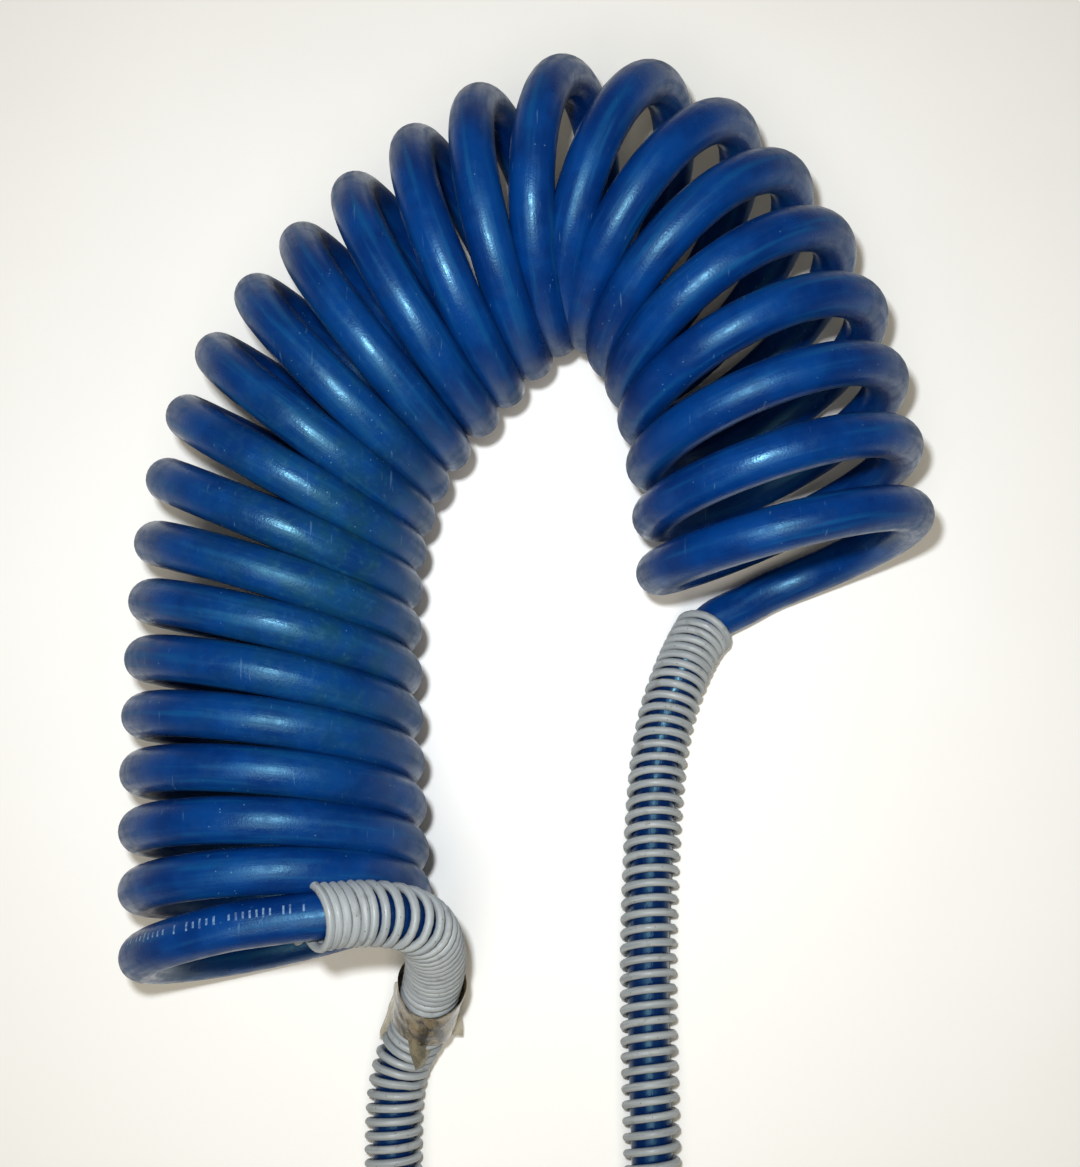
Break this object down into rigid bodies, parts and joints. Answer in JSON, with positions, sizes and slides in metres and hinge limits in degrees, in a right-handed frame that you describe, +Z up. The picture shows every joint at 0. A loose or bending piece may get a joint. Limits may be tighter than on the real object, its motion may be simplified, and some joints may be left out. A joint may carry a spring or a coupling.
{
  "type": "coiled air hose",
  "caption": "Coiled air brake hose bent into an arch, with wire spring guards on both leads, a rigid pipe end and a live-swivel pipe end.",
  "frame": {"origin": "centre of the bounding box's base, on the surface that the hose lies on", "axes": "+Z up; both leads run towards -Y and the arch of the coil closes towards +Y; the rigid end is at -X and the swivel end at +X"},
  "size_m": [0.2375, 0.4685, 0.0889],
  "materials": {
    "hose_nylon": "satin blue nylon, scuffed",
    "hose_braid": "white polyester braid",
    "hose_core": "black nylon core tube",
    "spring_wire": "light grey coated steel wire",
    "packing_tape": "clear yellowed packing tape, crumpled",
    "brass": "machined brass",
    "seal_rubber": "black rubber",
    "ring_steel": "spring steel",
    "washer_plastic": "white low-friction plastic"
  },
  "bodies": {
    "hose": {"hose_coil": "hose_nylon", "hose_cover_left": "hose_nylon", "hose_cover_right": "hose_nylon", "hose_braid_left": "hose_braid", "hose_braid_right": "hose_braid", "hose_core_left": "hose_core", "hose_core_right": "hose_core", "spring_guard_left": "spring_wire", "spring_guard_right": "spring_wire", "tape_wrap": "packing_tape", "compression_nut_left": "brass", "compression_nut_right": "brass", "ferrule_left": "brass", "ferrule_right": "brass", "tube_insert_left": "brass", "tube_insert_right": "brass", "fitting_body_left": "brass", "fitting_body_right": "brass", "swivel_retaining_ring": "ring_steel", "swivel_thrust_washer": "washer_plastic"},
    "swivel": {"swivel_nipple": "brass", "swivel_o_ring": "seal_rubber"}
  },
  "joints": [
    {"name": "swivel_spin", "type": "hinge", "parent": "hose", "child": "swivel", "pos_m": [0.038, -0.215, 0.011], "axis": [0, -1, 0], "continuous": true}
  ]
}
